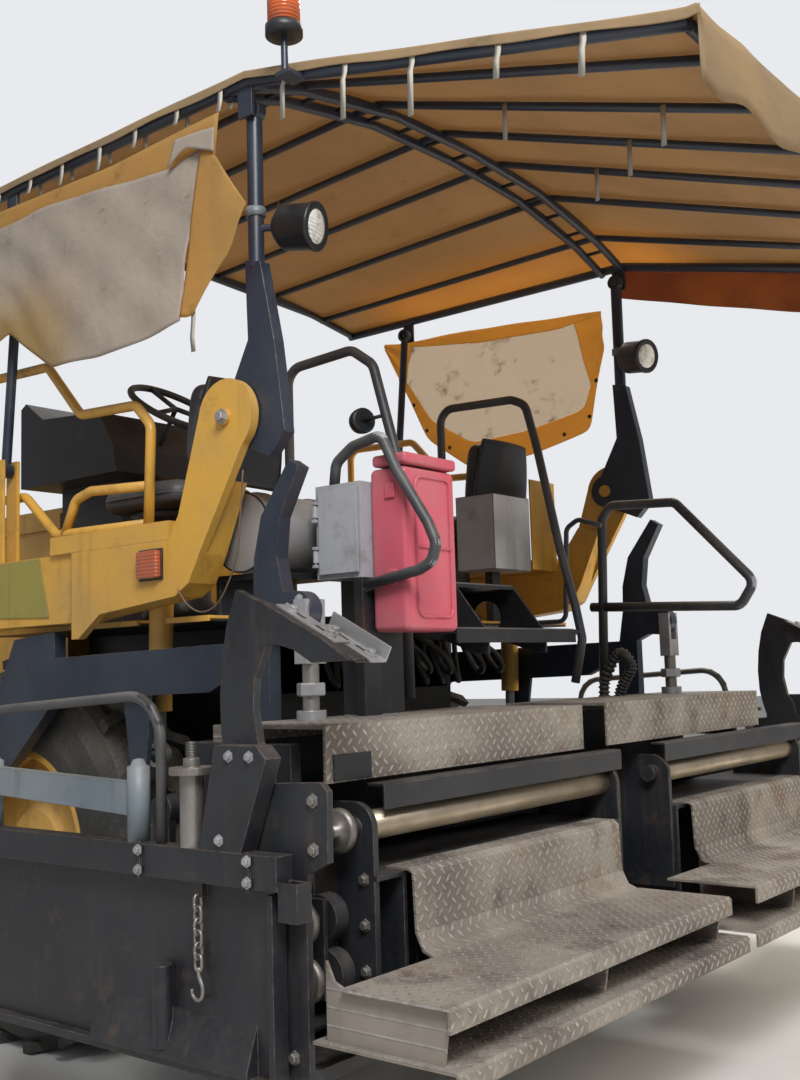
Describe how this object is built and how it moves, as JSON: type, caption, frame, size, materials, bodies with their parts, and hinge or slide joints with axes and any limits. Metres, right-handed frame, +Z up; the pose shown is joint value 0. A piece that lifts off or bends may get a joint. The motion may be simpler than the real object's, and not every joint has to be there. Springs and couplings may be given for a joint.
{
  "type": "wheeled asphalt paver",
  "caption": "Wheeled asphalt paver with a front hopper, conveyor and augers, an operator's platform under a folding canopy, and a raised screed with sliding extensions.",
  "frame": {"origin": "on the ground, midway between the rear wheels, under their axis", "axes": "+X forward to the push rollers, +Y to the left, +Z up"},
  "size_m": [7.127, 3.8646, 3.52],
  "materials": {
    "chassis_steel": "dusty worn dark paint",
    "yellow_paint": "weathered mustard paint",
    "dark_paint": "satin dark paint",
    "cabinet_paint": "dusty light grey paint",
    "seat_vinyl": "worn dark vinyl",
    "tyre_rubber": "dusty black rubber",
    "screed_steel": "asphalt-stained dark paint",
    "worn_steel": "worn bright steel",
    "navy_paint": "satin navy paint",
    "canvas": "sun-bleached coated canvas",
    "tread_plate": "dusty tread plate",
    "zinc_plate": "dull zinc plating",
    "faded_plastic": "sun-faded red plastic"
  },
  "bodies": {
    "tractor": {"main_frame": "chassis_steel", "rear_drives": "chassis_steel", "front_axles": "chassis_steel", "side_tanks": "yellow_paint", "engine_cowl": "yellow_paint", "engine_block": "dark_paint", "hopper_apron": "chassis_steel", "conveyor": "worn_steel", "push_beam": "chassis_steel", "auger_carrier": "chassis_steel", "platform": "yellow_paint", "swan_necks": "yellow_paint", "operator_seats": "seat_vinyl", "console": "dark_paint", "hand_rails": "yellow_paint", "rear_lockers": "dark_paint", "rear_rails": "dark_paint"},
    "rear_wheel_left": {"rear_rim_left": "yellow_paint", "rear_tyre_left": "tyre_rubber"},
    "hopper_wing_left": {"hopper_wing_left": "screed_steel"},
    "push_roller_left": {"push_roller_left": "worn_steel"},
    "auger_left": {"auger_left": "worn_steel"},
    "extension_left": {"extension_left": "screed_steel", "walkway_left": "tread_plate"},
    "end_gate_left": {"end_gate_left": "screed_steel"},
    "rear_wheel_right": {"rear_rim_right": "yellow_paint", "rear_tyre_right": "tyre_rubber"},
    "hopper_wing_right": {"hopper_wing_right": "screed_steel"},
    "push_roller_right": {"push_roller_right": "worn_steel"},
    "auger_right": {"auger_right": "worn_steel"},
    "extension_right": {"extension_right": "screed_steel", "walkway_right": "tread_plate"},
    "end_gate_right": {"end_gate_right": "screed_steel"},
    "knuckle_1_left": {"knuckle_1_left": "chassis_steel"},
    "front_wheel_1_left": {"front_wheel_1_left": "tyre_rubber"},
    "knuckle_1_right": {"knuckle_1_right": "chassis_steel"},
    "front_wheel_1_right": {"front_wheel_1_right": "tyre_rubber"},
    "knuckle_2_left": {"knuckle_2_left": "chassis_steel"},
    "front_wheel_2_left": {"front_wheel_2_left": "tyre_rubber"},
    "knuckle_2_right": {"knuckle_2_right": "chassis_steel"},
    "front_wheel_2_right": {"front_wheel_2_right": "tyre_rubber"},
    "hood_lid": {"hood_lid": "yellow_paint", "exhaust": "worn_steel"},
    "rear_masts": {"rear_masts": "navy_paint"},
    "front_masts": {"front_masts": "navy_paint"},
    "roof": {"roof_frame": "navy_paint", "roof_canvas": "canvas", "curtain_left": "canvas", "curtain_right": "canvas"},
    "lift_barrels": {"lift_barrels": "yellow_paint"},
    "lift_rods": {"lift_rods": "worn_steel"},
    "screed": {"tow_arms": "navy_paint", "screed_frame": "chassis_steel", "screed_deck": "tread_plate", "spindles": "zinc_plate", "control_cabinet": "cabinet_paint", "locker_box": "faded_plastic"},
    "cabinet_door": {"cabinet_door": "cabinet_paint"},
    "locker_lid": {"locker_lid": "faded_plastic"}
  },
  "joints": [
    {"name": "rear_wheel_left_spin", "type": "hinge", "parent": "tractor", "child": "rear_wheel_left", "pos_m": [0, 0.95, 0.745], "axis": [0, 1, 0], "continuous": true},
    {"name": "rear_wheel_right_spin", "type": "hinge", "parent": "tractor", "child": "rear_wheel_right", "pos_m": [0, -0.95, 0.745], "axis": [0, 1, 0], "continuous": true},
    {"name": "steer_1_left", "type": "hinge", "parent": "tractor", "child": "knuckle_1_left", "pos_m": [2.15, 0.7, 0.28], "axis": [0, 0, 1], "range_deg": [-22, 22]},
    {"name": "front_wheel_1_left_spin", "type": "hinge", "parent": "knuckle_1_left", "child": "front_wheel_1_left", "pos_m": [2.15, 0.9, 0.28], "axis": [0, 1, 0], "continuous": true},
    {"name": "steer_1_right", "type": "hinge", "parent": "tractor", "child": "knuckle_1_right", "pos_m": [2.15, -0.7, 0.28], "axis": [0, 0, 1], "range_deg": [-22, 22]},
    {"name": "front_wheel_1_right_spin", "type": "hinge", "parent": "knuckle_1_right", "child": "front_wheel_1_right", "pos_m": [2.15, -0.9, 0.28], "axis": [0, 1, 0], "continuous": true},
    {"name": "steer_2_left", "type": "hinge", "parent": "tractor", "child": "knuckle_2_left", "pos_m": [2.8, 0.7, 0.28], "axis": [0, 0, 1], "range_deg": [-22, 22]},
    {"name": "front_wheel_2_left_spin", "type": "hinge", "parent": "knuckle_2_left", "child": "front_wheel_2_left", "pos_m": [2.8, 0.9, 0.28], "axis": [0, 1, 0], "continuous": true},
    {"name": "steer_2_right", "type": "hinge", "parent": "tractor", "child": "knuckle_2_right", "pos_m": [2.8, -0.7, 0.28], "axis": [0, 0, 1], "range_deg": [-22, 22]},
    {"name": "front_wheel_2_right_spin", "type": "hinge", "parent": "knuckle_2_right", "child": "front_wheel_2_right", "pos_m": [2.8, -0.9, 0.28], "axis": [0, 1, 0], "continuous": true},
    {"name": "hopper_wing_left_fold", "type": "hinge", "parent": "tractor", "child": "hopper_wing_left", "pos_m": [2.8, 0.59, 0.683], "axis": [1, 0, 0], "range_deg": [0, 50]},
    {"name": "hopper_wing_right_fold", "type": "hinge", "parent": "tractor", "child": "hopper_wing_right", "pos_m": [2.8, -0.59, 0.683], "axis": [-1, 0, 0], "range_deg": [0, 50]},
    {"name": "push_roller_left_spin", "type": "hinge", "parent": "tractor", "child": "push_roller_left", "pos_m": [4.01, 0.34, 0.52], "axis": [0, 1, 0], "continuous": true},
    {"name": "auger_left_spin", "type": "hinge", "parent": "tractor", "child": "auger_left", "pos_m": [-1.06, 0.6, 0.43], "axis": [0, 1, 0], "continuous": true},
    {"name": "push_roller_right_spin", "type": "hinge", "parent": "tractor", "child": "push_roller_right", "pos_m": [4.01, -0.34, 0.52], "axis": [0, 1, 0], "continuous": true},
    {"name": "auger_right_spin", "type": "hinge", "parent": "tractor", "child": "auger_right", "pos_m": [-1.06, -0.6, 0.43], "axis": [0, 1, 0], "continuous": true},
    {"name": "hood_lift", "type": "hinge", "parent": "tractor", "child": "hood_lid", "pos_m": [0.244, 0, 2.137], "axis": [0, 1, 0], "range_deg": [-60, 0]},
    {"name": "canopy_fold", "type": "hinge", "parent": "tractor", "child": "rear_masts", "pos_m": [-1.365, 0, 2.218], "axis": [0, 1, 0], "range_deg": [0, 60]},
    {"name": "front_mast_fold", "type": "hinge", "parent": "tractor", "child": "front_masts", "pos_m": [-0.06, 0, 2.218], "axis": [0, 1, 0], "range_deg": [0, 60]},
    {"name": "roof_level", "type": "hinge", "parent": "rear_masts", "child": "roof", "pos_m": [-1.465, 0, 3.225], "axis": [0, 1, 0], "range_deg": [-60, 0]},
    {"name": "screed_lift", "type": "hinge", "parent": "tractor", "child": "screed", "pos_m": [0.85, 0, 0.55], "axis": [0, 1, 0], "range_deg": [-7.2, 0]},
    {"name": "lift_swing", "type": "hinge", "parent": "tractor", "child": "lift_barrels", "pos_m": [-0.85, 0, 1.72], "axis": [0, 1, 0], "range_deg": [0, 4.95]},
    {"name": "lift_stroke", "type": "slide", "parent": "lift_barrels", "child": "lift_rods", "axis": [0.0339, 0, -0.9994], "range_m": [0, 0.2188]},
    {"name": "extension_left_slide", "type": "slide", "parent": "screed", "child": "extension_left", "axis": [0, 1, 0], "range_m": [0, 1.2]},
    {"name": "extension_right_slide", "type": "slide", "parent": "screed", "child": "extension_right", "axis": [0, -1, 0], "range_m": [0, 0.8]},
    {"name": "end_gate_left_lift", "type": "slide", "parent": "extension_left", "child": "end_gate_left", "axis": [0, 0, 1], "range_m": [0, 0.1]},
    {"name": "end_gate_right_lift", "type": "slide", "parent": "extension_right", "child": "end_gate_right", "axis": [0, 0, 1], "range_m": [0, 0.1]},
    {"name": "locker_lid_open", "type": "hinge", "parent": "screed", "child": "locker_lid", "pos_m": [-1.64, 0.7, 2.064], "axis": [0, 1, 0], "range_deg": [0, 90]},
    {"name": "cabinet_door_open", "type": "hinge", "parent": "screed", "child": "cabinet_door", "pos_m": [-1.464, 0.964, 1.85], "axis": [0, 0, 1], "range_deg": [-85, 0]}
  ],
  "couplings": [
    {"joint": "steer_1_right", "follows": "steer_1_left", "ratio": 1},
    {"joint": "steer_2_left", "follows": "steer_1_left", "ratio": 1},
    {"joint": "steer_2_right", "follows": "steer_1_left", "ratio": 1},
    {"joint": "front_mast_fold", "follows": "canopy_fold", "ratio": 1},
    {"joint": "roof_level", "follows": "canopy_fold", "ratio": -1},
    {"joint": "lift_swing", "follows": "screed_lift", "ratio": -0.6592},
    {"joint": "lift_stroke", "follows": "screed_lift", "m_per_rad": -1.717}
  ]
}
